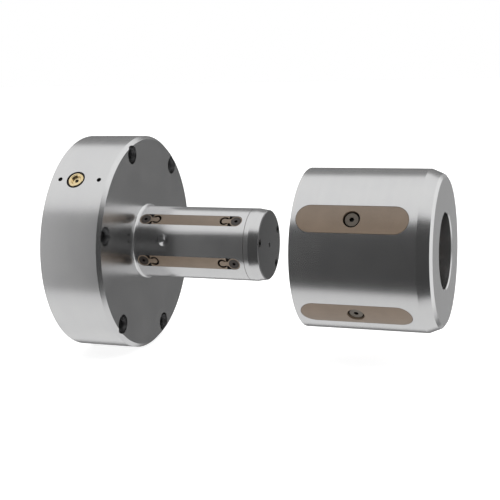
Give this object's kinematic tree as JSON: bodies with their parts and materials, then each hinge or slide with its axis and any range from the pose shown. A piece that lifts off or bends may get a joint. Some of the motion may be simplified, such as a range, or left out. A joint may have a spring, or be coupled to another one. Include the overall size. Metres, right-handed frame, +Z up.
{
  "type": "expanding core chuck",
  "caption": "Flange-mounted expanding chuck for paper cores: keys rise from a slotted mandrel, and a slide-on adapter sleeve with rising pads takes larger cores.",
  "frame": {"origin": "centre of the flange's back mounting face, in the mouth of the rear spigot bore", "axes": "+X along the chuck's axis from the flange to the nose and the sleeve, +Z up, the air valve above the -Y side"},
  "size_m": [0.3546, 0.2078, 0.2078],
  "materials": {
    "satin_aluminium": "satin turned",
    "plain_aluminium": "turned",
    "hard_coat_brown": "hard anodised, matte",
    "black_steel": "black oxide",
    "steel": "ground",
    "bronze": "plain",
    "brass": "turned",
    "rubber": "matte",
    "elastomer": "matte"
  },
  "bodies": {
    "chuck": {"mandrel": "satin_aluminium", "rear_cover": "plain_aluminium", "cover_o_ring": "rubber", "cover_screws": "black_steel", "guide_bush": "bronze", "drawbar_seal": "rubber", "front_bush": "bronze", "nose_cap": "satin_aluminium", "nose_screws": "black_steel", "keepers": "hard_coat_brown", "keeper_screws": "black_steel", "valve_body": "brass", "valve_seal": "rubber", "valve_spring": "steel", "return_spring": "steel", "key_springs_1": "elastomer", "key_springs_2": "elastomer", "key_springs_3": "elastomer", "key_springs_4": "elastomer", "key_springs_5": "elastomer"},
    "piston": {"piston": "plain_aluminium", "piston_seal": "rubber", "drawbar": "steel", "drawbar_nut": "steel"},
    "valve_pin": {"valve_pin": "steel"},
    "sleeve_rings": {"sleeve_rings": "rubber"},
    "sleeve": {"sleeve_body": "satin_aluminium", "sleeve_lock_screw": "black_steel", "pad_screws": "black_steel", "pad_spring_1": "elastomer", "pad_spring_2": "elastomer", "pad_spring_3": "elastomer", "pad_spring_4": "elastomer", "pad_spring_5": "elastomer"},
    "key_1": {"key_1": "hard_coat_brown"},
    "key_2": {"key_2": "hard_coat_brown"},
    "key_3": {"key_3": "hard_coat_brown"},
    "key_4": {"key_4": "hard_coat_brown"},
    "key_5": {"key_5": "hard_coat_brown"},
    "pad_1": {"pad_1": "hard_coat_brown"},
    "pad_2": {"pad_2": "hard_coat_brown"},
    "pad_3": {"pad_3": "hard_coat_brown"},
    "pad_4": {"pad_4": "hard_coat_brown"},
    "pad_5": {"pad_5": "hard_coat_brown"}
  },
  "joints": [
    {"name": "piston_slide", "type": "slide", "parent": "chuck", "child": "piston", "axis": [1, 0, 0], "range_m": [0, 0.008], "stiffness_N_per_m": 5000, "springref_m": -0.006, "deforming": ["return_spring"]},
    {"name": "valve_pin_slide", "type": "slide", "parent": "chuck", "child": "valve_pin", "axis": [0, 0.7385, -0.6743], "range_m": [0, 0.0015], "stiffness_N_per_m": 200, "springref_m": -0.001, "deforming": ["valve_spring"]},
    {"name": "sleeve_slide", "type": "slide", "parent": "chuck", "child": "sleeve_rings", "axis": [1, 0, 0], "range_m": [-0.1684, 0.2]},
    {"name": "sleeve_turn", "type": "hinge", "parent": "sleeve_rings", "child": "sleeve", "pos_m": [0.29, 0, 0], "axis": [1, 0, 0], "continuous": true},
    {"name": "key_1_slide", "type": "slide", "parent": "chuck", "child": "key_1", "axis": [0, -0.66, 0.7513], "range_m": [0, 0.002], "deforming": ["key_springs_1"]},
    {"name": "key_2_slide", "type": "slide", "parent": "chuck", "child": "key_2", "axis": [0, 0.5105, 0.8599], "range_m": [0, 0.002], "deforming": ["key_springs_2"]},
    {"name": "key_3_slide", "type": "slide", "parent": "chuck", "child": "key_3", "axis": [0, 0.9755, -0.2198], "range_m": [0, 0.002], "deforming": ["key_springs_3"]},
    {"name": "key_4_slide", "type": "slide", "parent": "chuck", "child": "key_4", "axis": [0, 0.0924, -0.9957], "range_m": [0, 0.002], "deforming": ["key_springs_4"]},
    {"name": "key_5_slide", "type": "slide", "parent": "chuck", "child": "key_5", "axis": [0, -0.9184, -0.3955], "range_m": [0, 0.002], "deforming": ["key_springs_5"]},
    {"name": "pad_1_slide", "type": "slide", "parent": "sleeve", "child": "pad_1", "axis": [0, -0.8634, 0.5045], "range_m": [0, 0.002], "deforming": ["pad_spring_1"]},
    {"name": "pad_2_slide", "type": "slide", "parent": "sleeve", "child": "pad_2", "axis": [0, 0.213, 0.977], "range_m": [0, 0.002], "deforming": ["pad_spring_2"]},
    {"name": "pad_3_slide", "type": "slide", "parent": "sleeve", "child": "pad_3", "axis": [0, 0.9951, 0.0993], "range_m": [0, 0.002], "deforming": ["pad_spring_3"]},
    {"name": "pad_4_slide", "type": "slide", "parent": "sleeve", "child": "pad_4", "axis": [0, 0.4019, -0.9157], "range_m": [0, 0.002], "deforming": ["pad_spring_4"]},
    {"name": "pad_5_slide", "type": "slide", "parent": "sleeve", "child": "pad_5", "axis": [0, -0.7466, -0.6652], "range_m": [0, 0.002], "deforming": ["pad_spring_5"]}
  ],
  "couplings": [
    {"joint": "key_1_slide", "follows": "piston_slide", "ratio": 0.25},
    {"joint": "key_2_slide", "follows": "piston_slide", "ratio": 0.25},
    {"joint": "key_3_slide", "follows": "piston_slide", "ratio": 0.25},
    {"joint": "key_4_slide", "follows": "piston_slide", "ratio": 0.25},
    {"joint": "key_5_slide", "follows": "piston_slide", "ratio": 0.25},
    {"joint": "pad_1_slide", "follows": "piston_slide", "ratio": 0.25},
    {"joint": "pad_2_slide", "follows": "piston_slide", "ratio": 0.25},
    {"joint": "pad_3_slide", "follows": "piston_slide", "ratio": 0.25},
    {"joint": "pad_4_slide", "follows": "piston_slide", "ratio": 0.25},
    {"joint": "pad_5_slide", "follows": "piston_slide", "ratio": 0.25}
  ]
}
